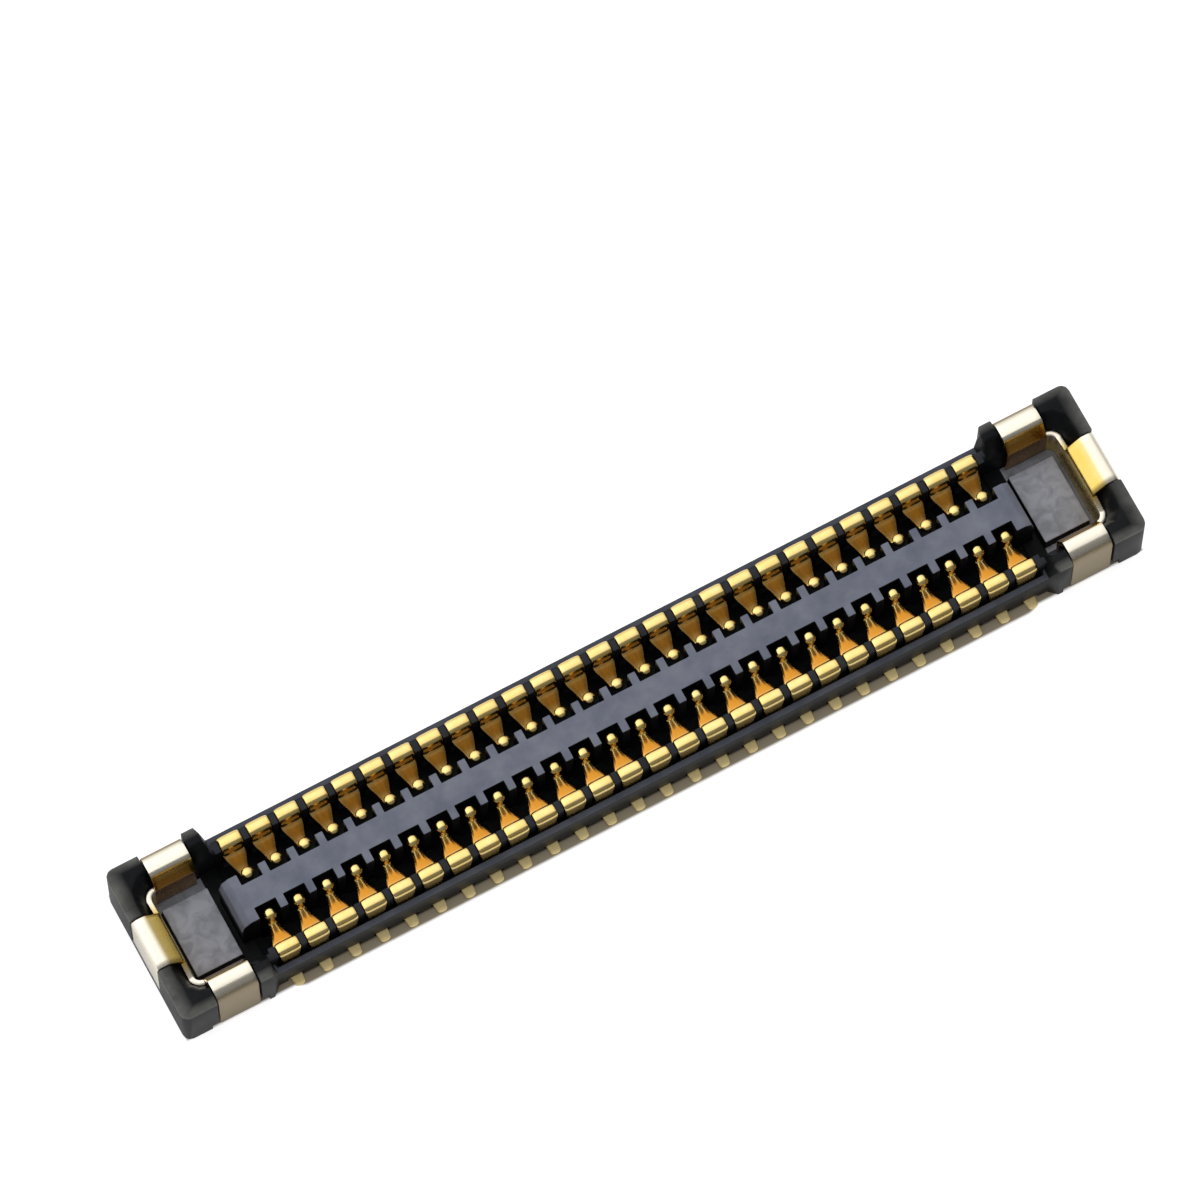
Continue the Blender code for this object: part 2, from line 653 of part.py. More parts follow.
def main():
    for old in list(bpy.data.objects):
        bpy.data.objects.remove(old)
    parts = collection("fpc_connector")
    cutters = collection("cutters")
    root = bpy.data.objects.new("connector_origin", None)
    parts.objects.link(root)
    moulding = principled("black_moulding", (0.045, 0.048, 0.058), 0.5, 0.0)
    contact_gold = principled("contact_gold", (0.86, 0.62, 0.22), 0.25, 1.0)
    fitting_gold = principled("fitting_gold", (0.82, 0.66, 0.34), 0.3, 1.0)
    build_housing(parts, cutters, root, moulding)
    build_contacts(parts, root, contact_gold)
    build_fittings(parts, root, fitting_gold)


main()
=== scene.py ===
import math

import bmesh
import bpy
import numpy as np
from mathutils import Matrix, Vector


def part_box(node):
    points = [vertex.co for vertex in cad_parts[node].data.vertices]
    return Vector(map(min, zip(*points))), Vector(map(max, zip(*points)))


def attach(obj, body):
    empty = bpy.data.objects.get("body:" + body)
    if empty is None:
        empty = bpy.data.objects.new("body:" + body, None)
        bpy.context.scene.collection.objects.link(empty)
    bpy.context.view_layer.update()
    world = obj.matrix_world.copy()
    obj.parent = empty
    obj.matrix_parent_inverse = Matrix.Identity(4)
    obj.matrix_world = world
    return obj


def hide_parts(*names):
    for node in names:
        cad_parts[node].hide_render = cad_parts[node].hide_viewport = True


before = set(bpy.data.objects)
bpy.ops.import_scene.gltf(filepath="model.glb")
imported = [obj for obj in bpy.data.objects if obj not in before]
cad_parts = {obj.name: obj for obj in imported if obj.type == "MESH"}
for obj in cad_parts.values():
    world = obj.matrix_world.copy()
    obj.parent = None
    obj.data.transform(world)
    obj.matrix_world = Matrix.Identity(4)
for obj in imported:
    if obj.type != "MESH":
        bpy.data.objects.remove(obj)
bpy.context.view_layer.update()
mm = 0.001
tiny = 1e-6
noiseSpan = (0.3, 0.7)  # most of a noise texture lies between these
print("frame loaded,", len(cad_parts), "nodes")

# Camera: nearly straight down on the mating side, turned along the rows
cameraValues = {
    "azimuthDeg": -28.2,
    "elevationDeg": 72.0,
    "distance": 130 * mm,
    "pixelsPerMm": 80.3,
    "imagePixels": 1200,
    "barTopPixel": (628.6, 702.8),  # where the point over the part's middle shows, at the bars' height
    "barTopHeight": 0.8 * mm,
    "sensorMm": 36.0,
}


def makeCamera(v):
    a, e = math.radians(v["azimuthDeg"]), math.radians(v["elevationDeg"])
    back = Vector((math.sin(a) * math.cos(e), -math.cos(a) * math.cos(e), math.sin(e)))
    right = Vector((math.cos(a), math.sin(a), 0.0))
    up = back.cross(right)
    middle = v["imagePixels"] / 2
    across = (middle - v["barTopPixel"][0]) / v["pixelsPerMm"] * mm
    along = (v["barTopPixel"][1] - middle) / v["pixelsPerMm"] * mm
    aim = Vector((0, 0, v["barTopHeight"])) + right * across + up * along
    data = bpy.data.cameras.new("camera")
    data.sensor_width = v["sensorMm"]
    data.lens = v["sensorMm"] * v["distance"] / mm * v["pixelsPerMm"] / v["imagePixels"]
    data.clip_start, data.clip_end = v["distance"] / 10, v["distance"] * 10
    camera = bpy.data.objects.new("camera", data)
    camera.location = aim + back * v["distance"]
    camera.rotation_euler = back.to_track_quat("Z", "Y").to_euler()
    bpy.context.scene.collection.objects.link(camera)
    bpy.context.scene.camera = camera
    print("camera placed")


# Node helpers for the materials below
def startMaterial(name):
    material = bpy.data.materials.new(name)
    material.use_nodes = True
    tree = material.node_tree
    return material, tree, tree.nodes["Principled BSDF"]


def addNode(tree, kind, inputs=None, **settings):
    node = tree.nodes.new(kind)
    for key, value in settings.items():
        setattr(node, key, value)
    for key, value in (inputs or {}).items():
        if isinstance(value, bpy.types.NodeSocket):
            tree.links.new(value, node.inputs[key])
        else:
            node.inputs[key].default_value = value
    return node


# size is the spacing of the pattern in mm
def addNoise(tree, vector, size, detail=3.0, rough=0.5):
    inputs = {"Vector": vector, "Scale": 1.0 / (size * mm), "Detail": detail, "Roughness": rough}
    return addNode(tree, "ShaderNodeTexNoise", inputs).outputs["Fac"]


# The operation's result for values that are sockets or numbers
def addMath(tree, operation, *values):
    inputs = dict(enumerate(values))
    return addNode(tree, "ShaderNodeMath", operation=operation, inputs=inputs).outputs[0]


def addRange(tree, value, fromLow, fromHigh, toLow, toHigh):
    inputs = {"Value": value, "From Min": fromLow, "From Max": fromHigh, "To Min": toLow, "To Max": toHigh}
    return addNode(tree, "ShaderNodeMapRange", inputs).outputs["Result"]


# A range whose input runs over a span in mm
def addSpan(tree, value, span, toLow, toHigh):
    return addRange(tree, value, span[0] * mm, span[1] * mm, toLow, toHigh)


# first and second are colours or sockets, and go to the node's two colour sockets, 6 and 7
def addColourMix(tree, factor, first, second):
    node = tree.nodes.new("ShaderNodeMix")
    node.data_type = "RGBA"
    for socket, value in ((node.inputs[0], factor), (node.inputs[6], first), (node.inputs[7], second)):
        if isinstance(value, bpy.types.NodeSocket):
            tree.links.new(value, socket)
        elif isinstance(value, tuple):
            socket.default_value = (*value, 1.0)
        else:
            socket.default_value = value
    return node.outputs[2]


# The coordinates scaled by axis, so that a pattern on them is drawn out
def addStretch(tree, vector, scale):
    return addNode(tree, "ShaderNodeMapping", {"Vector": vector, "Scale": scale}).outputs["Vector"]


def addBump(tree, shader, height, distance):
    inputs = {"Height": height, "Distance": distance * mm, "Strength": 1.0}
    tree.links.new(addNode(tree, "ShaderNodeBump", inputs).outputs["Normal"], shader.inputs["Normal"])


# A piece from arrays of points, in metres, and faces. It sits at the origin and is shaded smooth
def putMesh(name, points, faces, material, replaced):
    mesh = bpy.data.meshes.new(name)
    mesh.from_pydata(points.tolist(), [], [row for part in faces for row in part.tolist()])
    mesh.polygons.foreach_set("use_smooth", np.ones(len(mesh.polygons), dtype=bool))
    mesh.materials.append(material)
    piece = bpy.data.objects.new(name, mesh)
    bpy.context.scene.collection.objects.link(piece)
    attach(piece, "root")
    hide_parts(replaced)
    return piece


# A polyline whose corners are arcs: each arc touches both runs at radius times the tangent of half the turn
def filletPath(points, radii, steps):
    path, marks = [np.array(points[0], float)], [0]
    for i in range(1, len(points) - 1):
        before, corner, after = (np.array(points[k], float) for k in (i - 1, i, i + 1))
        goIn, goOut = corner - before, after - corner
        goIn, goOut = goIn / np.linalg.norm(goIn), goOut / np.linalg.norm(goOut)
        cross = goIn[0] * goOut[1] - goIn[1] * goOut[0]
        turn = math.atan2(cross, goIn @ goOut)
        if radii[i] == 0 or abs(turn) < tiny:
            marks.append(len(path))
            path.append(corner)
            continue
        reach = radii[i] * math.tan(abs(turn) / 2)
        side = np.array((-goIn[1], goIn[0])) * math.copysign(radii[i], turn)
        centre = corner - goIn * reach + side
        angles = np.linspace(0, turn, steps + 1)
        cosine, sine = np.cos(angles), np.sin(angles)
        arc = np.stack((sine * side[1] - cosine * side[0], -sine * side[0] - cosine * side[1]), axis=1)
        marks.append(len(path) + steps // 2)
        path.extend(centre + arc)
    marks.append(len(path))
    path.append(np.array(points[-1], float))
    return np.array(path), np.array(marks)


# Adds points on long runs and near both ends, and gives the distance along the path at every point and mark
def refinePath(path, marks, longest, nearEnd=()):
    steps = np.linalg.norm(np.diff(path, axis=0), axis=1)
    distance = np.concatenate(((0.0,), np.cumsum(steps)))
    extra = np.arange(0, distance[-1], longest)
    gaps = np.abs(extra[:, None] - distance[None, :]).min(axis=1)
    nearEnd = np.array(nearEnd)
    places = np.sort(np.concatenate((distance, extra[gaps > longest / 3], nearEnd, distance[-1] - nearEnd)))
    fine = np.stack([np.interp(places, distance, path[:, k]) for k in (0, 1)], axis=1)
    return fine, places, distance[marks]


# Straight lines between the knots, averaged over a short stretch so that their corners are round
def smoothBetween(places, knots, values, spread, samples=1200):
    sample = np.linspace(places[0] - 3 * spread, places[-1] + 3 * spread, samples)
    line = np.interp(sample, knots, values)
    reach = max(1, int(spread / (sample[1] - sample[0])))
    kernel = np.hanning(2 * reach + 3)
    padded = np.pad(line, reach + 1, mode="edge")
    return np.interp(places, sample, np.convolve(padded, kernel / kernel.sum(), mode="valid"))


# Contacts: one formed strip each, from the solder tail over the comb wall to the spring tip
contactValues = {
    "thickness": 0.06,
    "sides": 20,
    "arcSteps": 7,
    "longestRun": 0.045,
    "widthSpread": 0.035,
    "endRound": 0.03,
    "endSteps": 4,
    "darkReflectionFrom": (1.25, 1.40, 1.50, 1.64),  # mm along the strip between which its run is painted darker, a painted reflection of the arm
    "darkReflectionEdge": 0.85,  # the share of that painted reflection which its edges lose
    # distance from the middle plane, height, bend radius, width, squareness and crown of the section, in mm
    "stations": (
        (1.100, 0.030, 0.000, 0.125, 3.0, 0.000),  # end of the tail
        (1.020, 0.030, 0.000, 0.145, 4.0, 0.004),
        (0.825, 0.030, 0.060, 0.180, 5.0, 0.000),  # bend of the tail
        (0.840, 0.560, 0.000, 0.255, 4.0, 0.000),
        (0.840, 0.680, 0.000, 0.295, 4.0, 0.000),
        (0.840, 0.770, 0.034, 0.300, 4.0, 0.000),  # outer edge of the bar
        (0.705, 0.770, 0.034, 0.300, 4.0, 0.000),  # inner edge of the bar
        (0.705, 0.690, 0.000, 0.295, 4.0, 0.000),
        (0.700, 0.548, 0.055, 0.300, 4.0, 0.006),  # where the run leaves the wall
        (0.625, 0.541, 0.000, 0.285, 4.0, 0.010),
        (0.550, 0.532, 0.000, 0.232, 4.0, 0.012),
        (0.480, 0.523, 0.000, 0.182, 3.6, 0.012),
        (0.420, 0.515, 0.000, 0.150, 3.0, 0.010),
        (0.322, 0.505, 0.050, 0.115, 2.6, 0.006),  # foot of the arm
        (0.332, 0.590, 0.000, 0.090, 2.4, 0.000),
        (0.345, 0.680, 0.000, 0.092, 2.2, 0.000),  # neck
        (0.366, 0.768, 0.036, 0.138, 2.1, 0.014),  # spring tip
        (0.301, 0.768, 0.000, 0.172, 2.0, 0.026),
        (0.236, 0.768, 0.036, 0.132, 2.1, 0.014),
        (0.236, 0.718, 0.000, 0.080, 2.0, 0.000),
    ),
}


# Strip surface: point = path(s) + across * w(s)/2 * c + normal(s) * (t/2 * d + crown(s) * c^2), where
# (c, d) runs round a superellipse |c|^n + |d|^n = 1 whose power n is the squareness at s. Over the last
# endRound of each end w and t shrink as in a quarter circle, down to a pole
def stripShape(v):
    table = np.array(v["stations"])
    path, marks = filletPath(table[:, :2], table[:, 2], v["arcSteps"])
    quarter = np.arange(1, v["endSteps"] + 1) / v["endSteps"] * np.pi / 2
    path, places, knots = refinePath(path, marks, v["longestRun"], v["endRound"] * (1 - np.cos(quarter)))
    width = smoothBetween(places, knots, table[:, 3], v["widthSpread"])
    power = smoothBetween(places, knots, table[:, 4], v["widthSpread"])
    crown = smoothBetween(places, knots, table[:, 5], v["widthSpread"])
    tangent = np.gradient(path, places, axis=0)
    tangent /= np.linalg.norm(tangent, axis=1, keepdims=True)
    normal = np.stack((-tangent[:, 1], tangent[:, 0]), axis=1)
    fromEnd = np.minimum(places - places[0], places[-1] - places)
    shrink = np.sqrt(np.clip(1 - np.clip(1 - fromEnd / v["endRound"], 0, 1) ** 2, 0, 1))
    turn = np.arange(v["sides"]) / v["sides"] * 2 * np.pi + np.pi / v["sides"]
    cosine, sine = np.cos(turn)[None, :], np.sin(turn)[None, :]
    roundness = 2 / power[:, None]
    wide = np.sign(cosine) * np.abs(cosine) ** roundness * (width * shrink / 2)[:, None]
    thick = np.sign(sine) * np.abs(sine) ** roundness * (v["thickness"] / 2 * shrink)[:, None]
    thick += crown[:, None] * np.abs(cosine) ** (2 * roundness)
    # Painted dark reflection on the run, weaker towards its edges
    inside = 1 - v["darkReflectionEdge"] * np.abs(cosine) ** 4
    darkReflection = np.interp(places, v["darkReflectionFrom"], (0, 1, 1, 0))[:, None] * inside
    ring = np.stack((
        wide,
        path[:, :1] + normal[:, :1] * thick,
        path[:, 1:] + normal[:, 1:] * thick,
    ), axis=2)[1:-1]
    return ring, path, places, darkReflection[1:-1]


def stripMesh(v):
    ring, path, places, darkReflection = stripShape(v)
    rows, sides = ring.shape[:2]
    points = np.concatenate((ring.reshape(-1, 3), [(0, *path[0])], [(0, *path[-1])]))
    along = np.concatenate((np.repeat(places[1:-1], sides), (places[0], places[-1])))
    row, side = np.meshgrid(np.arange(rows - 1), np.arange(sides), indexing="ij")
    near, far = row * sides, (row + 1) * sides
    following = (side + 1) % sides
    quads = np.stack((near + side, far + side, far + following, near + following), axis=2).reshape(-1, 4)
    loop = np.arange(sides)
    start = np.stack((loop, (loop + 1) % sides, np.full(sides, rows * sides)), axis=1)
    last = (rows - 1) * sides
    end = np.stack((last + (loop + 1) % sides, last + loop, np.full(sides, rows * sides + 1)), axis=1)
    return points, [quads, start, end], along, np.append(darkReflection.ravel(), (0, 0))


def stripGold(v):
    material, tree, shader = startMaterial("stripGold")
    place = addNode(tree, "ShaderNodeAttribute", attribute_name="stripPlace").outputs["Vector"]
    spot = addNode(tree, "ShaderNodeTexCoord").outputs["Object"]
    cloud = addNoise(tree, spot, v["cloudSize"])
    plated = addColourMix(tree, addRange(tree, cloud, *noiseSpan, 0, 1), v["warm"], v["pale"])
    along = addNode(tree, "ShaderNodeSeparateXYZ", {"Vector": place}).outputs["Y"]
    rise = addSpan(tree, along, v["legStart"], 0, 1)
    leg = addMath(tree, "MULTIPLY", rise, addSpan(tree, along, v["legEnd"], 1, 0))
    # The run's painted dark reflection
    darkReflection = addNode(tree, "ShaderNodeAttribute", attribute_name="paintedDarkReflection").outputs["Fac"]
    plated = addColourMix(tree, darkReflection, plated, v["paintedDarkReflection"])
    # Painted highlight on the tails
    tail = addSpan(tree, along, v["legStart"], 1, 0)
    plated = addColourMix(tree, tail, plated, v["tailPaintedHighlight"])
    # Painted shade on the outer leg
    tree.links.new(addColourMix(tree, leg, plated, v["legPaintedShade"]), shader.inputs["Base Color"])
    shine = addMath(tree, "MULTIPLY", addRange(tree, leg, 0, 1, 1, v["legMetallic"]),
                    addRange(tree, tail, 0, 1, 1, v["tailMetallic"]))
    tree.links.new(shine, shader.inputs["Metallic"])
    rolled = addNoise(tree, addStretch(tree, place, v["lineStretch"]), v["lineSize"], v["lineDetail"])
    polish = addRange(tree, rolled, *noiseSpan, *v["roughness"])
    tree.links.new(addMath(tree, "MULTIPLY_ADD", tail, v["tailRough"], polish), shader.inputs["Roughness"])
    addBump(tree, shader, rolled, v["lineDepth"])
    return material


contactGoldValues = {
    "warm": (1.0, 0.72, 0.24),
    "pale": (1.0, 0.79, 0.33),
    "paintedDarkReflection": (0.64, 0.27, 0.03),
    "cloudSize": 0.12,
    "lineSize": 0.02,
    "lineDetail": 4.0,
    "lineStretch": (1.0, 0.15, 1.0),
    "lineDepth": 0.00015,
    "roughness": (0.16, 0.25),
    "legPaintedShade": (0.27, 0.185, 0.06),
    "legMetallic": 0.25,
    "legStart": (0.25, 0.32),  # the outer leg gets painted shade, duller and darker than the rest, in mm along the strip
    "legEnd": (0.945, 0.975),
    "tailPaintedHighlight": (1.0, 0.80, 0.38),  # the ends of the tails, painted pale as a painted highlight
    "tailMetallic": 0.3,
    "tailRough": 0.22,
}


def makeContacts(v, goldValues):
    gold = stripGold(goldValues)
    points, faces, along, darkReflection = stripMesh(v)
    for name in sorted(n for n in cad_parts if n.startswith("contact")):
        low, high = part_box(name)
        middle = (low[0] + high[0]) / 2
        turned = -1.0 if high[1] < 0 else 1.0  # the front row is the rear row turned half round
        placed = points * mm * (turned, turned, 1.0) + (middle, 0, 0)
        piece = putMesh(name + "Strip", placed, faces, gold, name)
        place = np.stack((points[:, 0], along, np.zeros(len(along))), axis=1) * mm
        place[:, 2] = middle
        attribute = piece.data.attributes.new("stripPlace", "FLOAT_VECTOR", "POINT")
        attribute.data.foreach_set("vector", place.ravel())
        attribute = piece.data.attributes.new("paintedDarkReflection", "FLOAT", "POINT")
        attribute.data.foreach_set("value", darkReflection.astype(np.float32))
    print("contacts made,", len(points), "points each")


# Fittings: one folded sheet in each end pocket
fittingValues = {
    "thickness": 0.07,
    "bandLow": 0.126,
    "bandTop": 0.62,
    "bandEnd": 6.439,
    "bandSide": 0.674,
    "bandStart": 5.745,
    "bandCorner": 0.13,
    "bandCornerSteps": 8,
    "endTabHalf": 0.35,
    "tabTop": 0.95,
    "bendBelow": 0.1,  # the sheet is straight up to this far below the band's top
    "bowRadius": 0.08,
    "arcSteps": 8,
    # outward reach, foot, height of the bend, run of the lead-in, its radius and the outer fold's radius
    "endTab": (0.321, 0.15, 0.785, 0.19, 0.08, 0.052),
    "sideTab": (0.351, 0.0, 0.70, 0.105, 0.05, 0.12),
    "longestRun": 0.08,
    "bandRows": 5,
    "bowRows": 3,
    "tabColumns": 9,
    "widestColumn": 0.2,
    "mergeDistance": 1e-5,
    "edgeRadius": 0.01,
    "edgeSteps": 2,
    "edgeDeg": 50,
    "sharpDeg": 40,
    "endHighlight": (0.13, 0.2),  # how far past the band the sheet is painted pale, a painted highlight, on the end tab and the side tabs
    "sideHighlight": (0.05, 0.1),
    "cornerMargin": 0.01,  # the band's corners get the painted highlight too, down from its top by this depth
    "cornerDepth": 0.03,
    "darkReflectionSide": (0.71, 0.76),  # the side walls get a painted dark reflection up to here, from the middle plane
    "dullShadeFrom": (0.29, 0.34),  # how far past the band the side tabs are painted dull, as painted shade
}


# Tab centreline as (outward, up): up the band, out along the lead-in, flat over the wall and down outside
def tabShape(v, outer, foot, bend, lead, leadRadius, foldRadius):
    start = (0, v["bandTop"] - v["bendBelow"])
    points = [start, (0, bend), (lead, v["tabTop"]), (outer, v["tabTop"]), (outer, foot)]
    path, marks = filletPath(points, (0, v["bowRadius"], leadRadius, foldRadius, 0), v["arcSteps"])
    return refinePath(path, marks, v["longestRun"])[0]


# Middle surface: point = band(a) + outward(a) * out(b), up(b), a grid of columns (a) round the band and rows
# (b) up the sheet. A column goes on over the wall only where it lies on a tab
def fittingSurface(v):
    plan = [(v["bandStart"], -v["bandSide"]), (v["bandEnd"], -v["bandSide"]), (v["bandEnd"], v["bandSide"]),
            (v["bandStart"], v["bandSide"])]
    path, marks = filletPath(plan, (0, v["bandCorner"], v["bandCorner"], 0), v["bandCornerSteps"])
    steps = np.linalg.norm(np.diff(path, axis=0), axis=1)
    distance = np.concatenate(((0.0,), np.cumsum(steps)))
    middle = distance[-1] / 2
    cuts = np.array((middle - v["endTabHalf"], middle + v["endTabHalf"]))
    runs = np.concatenate([np.linspace(a, b, v["tabColumns"])[1:-1] for a, b in (
        (distance[0], distance[1]), cuts, (distance[-2], distance[-1]))])
    columns = np.sort(np.concatenate((distance, cuts, runs)))
    xy = np.stack([np.interp(columns, distance, path[:, k]) for k in (0, 1)], axis=1)
    heights = np.linspace(v["bandLow"], v["bandTop"] - v["bendBelow"], v["bandRows"])
    endPath, sidePath = tabShape(v, *v["endTab"]), tabShape(v, *v["sideTab"])
    onEnd = (columns > cuts[0] - tiny) & (columns < cuts[1] + tiny)
    onSide = (columns < distance[1] + tiny) | (columns > distance[-2] - tiny)
    points, faces, columnIds, start = [], [], [], 0
    bow = sidePath[1:v["bowRows"] + 1]
    for i in range(len(columns)):
        if onEnd[i]:
            out, line = np.array((1.0, 0.0)), endPath[1:]
        elif onSide[i]:
            out, line = np.array((0.0, math.copysign(1.0, xy[i, 1]))), sidePath[1:]
        else:
            out, line = np.zeros(2), bow
        ground = np.concatenate((np.stack((np.zeros(len(heights)), heights), axis=1), line))
        points.append(np.concatenate((xy[i] + out * ground[:, :1], ground[:, 1:]), axis=1))
        columnIds.append(start + np.arange(len(ground)))
        start += len(ground)
    for i in range(len(columns) - 1):
        narrow = columns[i + 1] - columns[i] < v["widestColumn"]
        joined = (onEnd[i] and onEnd[i + 1]) or (onSide[i] and onSide[i + 1] and narrow)
        rows = min(len(columnIds[i]), len(columnIds[i + 1])) if joined else v["bandRows"] + v["bowRows"]
        a, b = columnIds[i][:rows], columnIds[i + 1][:rows]
        faces.append(np.stack((a[:-1], b[:-1], b[1:], a[1:]), axis=1))
    return np.concatenate(points), np.concatenate(faces)


# Gives the sheet its thickness and round edges with modifiers, at a scale of one unit to the millimetre
def thickenSheet(points, faces, v):
    mesh = bpy.data.meshes.new("sheetDraft")
    mesh.from_pydata(points.tolist(), [], faces.tolist())
    bm = bmesh.new()
    bm.from_mesh(mesh)
    bmesh.ops.remove_doubles(bm, verts=bm.verts, dist=v["mergeDistance"])
    bmesh.ops.recalc_face_normals(bm, faces=bm.faces)
    bm.to_mesh(mesh)
    bm.free()
    draft = bpy.data.objects.new("sheetDraft", mesh)
    bpy.context.scene.collection.objects.link(draft)
    wall = draft.modifiers.new("thickness", "SOLIDIFY")
    wall.thickness = v["thickness"]
    wall.offset = 0.0
    wall.use_even_offset = True
    edge = draft.modifiers.new("edges", "BEVEL")
    edge.width = v["edgeRadius"]
    edge.segments = v["edgeSteps"]
    edge.limit_method = "ANGLE"
    edge.angle_limit = math.radians(v["edgeDeg"])
    edge.use_clamp_overlap = False
    graph = bpy.context.evaluated_depsgraph_get()
    done = bpy.data.meshes.new_from_object(draft.evaluated_get(graph))
    bpy.data.objects.remove(draft)
    place = np.empty(len(done.vertices) * 3)
    done.vertices.foreach_get("co", place)
    return done, place.reshape(-1, 3)


# The tone follows the painted light at each point: -1 is a painted dark reflection, 0 gold, 1 a painted
# highlight and 2 painted shade, which is dull
def sheetGold(v):
    material, tree, shader = startMaterial("sheetGold")
    spot = addNode(tree, "ShaderNodeTexCoord").outputs["Object"]
    cloud = addNoise(tree, spot, v["cloudSize"])
    plated = addColourMix(tree, addRange(tree, cloud, *noiseSpan, 0, 1), v["warm"], v["warmLight"])
    paintedLightFac = addNode(tree, "ShaderNodeAttribute", attribute_name="paintedLightTone").outputs["Fac"]
    plated = addColourMix(tree, addRange(tree, paintedLightFac, -1, 0, 1, 0), plated, v["paintedDarkReflection"])
    pale = addColourMix(tree, paintedLightFac, plated, v["pale"])
    paintedDull = addRange(tree, paintedLightFac, 1, 2, 0, 1)
    tree.links.new(addColourMix(tree, paintedDull, pale, v["dull"]), shader.inputs["Base Color"])
    brushed = addNoise(tree, addStretch(tree, spot, v["lineStretch"]), v["lineSize"], v["lineDetail"])
    polish = addRange(tree, brushed, *noiseSpan, *v["roughness"])
    tree.links.new(addMath(tree, "MULTIPLY_ADD", paintedDull, v["dullRough"], polish), shader.inputs["Roughness"])
    shader.inputs["Metallic"].default_value = 1.0
    addBump(tree, shader, brushed, v["lineDepth"])
    return material


fittingGoldValues = {
    "warm": (1.0, 0.70, 0.15),
    "warmLight": (1.0, 0.76, 0.22),
    # the painted dark reflection, painted highlight and painted shade of the sheet
    "paintedDarkReflection": (0.45, 0.22, 0.03),
    "pale": (1.0, 0.93, 0.78),
    "dull": (0.42, 0.35, 0.24),
    "dullRough": 0.3,
    "cloudSize": 0.3,
    "lineSize": 0.03,
    "lineDetail": 4.0,
    "lineStretch": (1.0, 1.0, 0.2),
    "lineDepth": 0.00002,
    "roughness": (0.24, 0.28),
}


def makeFittings(v, goldValues):
    gold = sheetGold(goldValues)
    points, faces = fittingSurface(v)
    done, place = thickenSheet(points, faces, v)
    # Painted light on the sheet: a pale highlight past the band and on its corners, dull shade on the side
    # tabs' outer plates, a dark reflection on the side walls
    paintedLightLevel = np.zeros(len(place))
    for past, (start, end) in ((place[:, 0] - v["bandEnd"], v["endHighlight"]),
                               (np.abs(place[:, 1]) - v["bandSide"], v["sideHighlight"])):
        paintedLightLevel = np.maximum(paintedLightLevel, np.clip((past - start) / (end - start), 0, 1))
    reach = np.abs(place[:, 1])
    corner = (place[:, 0] > v["bandEnd"] - v["bandCorner"]) & (reach > v["endTabHalf"] + v["cornerMargin"])
    paintedLightLevel[corner & (place[:, 2] > v["bandTop"] - v["cornerDepth"])] = 1
    outer = np.clip((reach - v["bandSide"] - v["dullShadeFrom"][0]) / np.diff(v["dullShadeFrom"]), 0, 1)
    paintedLightLevel = np.maximum(paintedLightLevel, outer * 2)
    inner = np.clip((v["darkReflectionSide"][1] - reach) / np.diff(v["darkReflectionSide"]), 0, 1)
    onSideWall = (place[:, 0] < v["bandEnd"] - v["bandCorner"]) & (paintedLightLevel < 1)
    paintedLightLevel = np.where(onSideWall, paintedLightLevel - inner, paintedLightLevel)
    attribute = done.attributes.new("paintedLightTone", "FLOAT", "POINT")
    attribute.data.foreach_set("value", paintedLightLevel.astype(np.float32))
    for side, turned in (("right", 1.0), ("left", -1.0)):
        mesh = done.copy()
        mesh.name = "fitting_" + side + "Sheet"
        mesh.vertices.foreach_set("co", (place * mm * (turned, turned, 1.0)).ravel())
        mesh.polygons.foreach_set("use_smooth", np.ones(len(mesh.polygons), dtype=bool))
        mesh.materials.append(gold)
        mesh.update()
        mesh.set_sharp_from_angle(angle=math.radians(v["sharpDeg"]))
        piece = bpy.data.objects.new(mesh.name, mesh)
        bpy.context.scene.collection.objects.link(piece)
        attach(piece, "root")
        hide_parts("fitting_" + side)
    print("fittings made,", len(done.polygons), "faces each")


# Housing: the moulded body, with its edges softened
housingValues = {
    "mergeDistance": 0.0008,
    "flatDeg": 0.6,
    "sharpDeg": 20.0,
    "edgeRadius": 0.011,
    "edgeSteps": 2,
    "roomFor": 2.2,  # an edge is rounded where its neighbours are this many roundings long
    "margin": 0.01,
    "touching": 0.001,
    "shadeDeg": 28,
    "blockFrom": 5.5,
    "islandEnd": 5.6,
    "islandSide": 0.32,
    "islandFoot": 0.55,
    "islandRising": 0.15,  # how far up a face has to look to count as a top
    "rising": 0.3,
    "pocketSide": 0.64,
    "plateauTop": 0.33,
    "rimSide": 0.9,
    "combSide": (0.69, 0.84),
    # how much texture and painted light an upward face shows: 0 is polished, 1 textured and lighter and 2
    # mottled, as the pocket floors are; the lighter tone is texture and painted light on the island and
    # plateau, and a painted highlight on the rim and comb tops
    "zones": {"island": 1.0, "plateau": 2.0, "rim": 0.4, "comb": 0.12},
}


# True if every edge that meets this one is longer than the room that the rounding takes
def roomRound(edge, room):
    return all(other.calc_length() > room for vert in edge.verts for other in vert.link_edges)


# Rounds every sharp edge that has room for it
def softenEdges(bm, v):
    sharp = math.radians(v["sharpDeg"])
    room = v["roomFor"] * v["edgeRadius"]
    picked = [e for e in bm.edges if len(e.link_faces) == 2 and e.calc_face_angle(0.0) > sharp]
    picked = [e for e in picked if roomRound(e, room)]
    bmesh.ops.bevel(bm, geom=picked, offset=v["edgeRadius"], offset_type="OFFSET", segments=v["edgeSteps"],
                    profile=0.5, affect="EDGES", clamp_overlap=False, loop_slide=True)
    return len(picked)


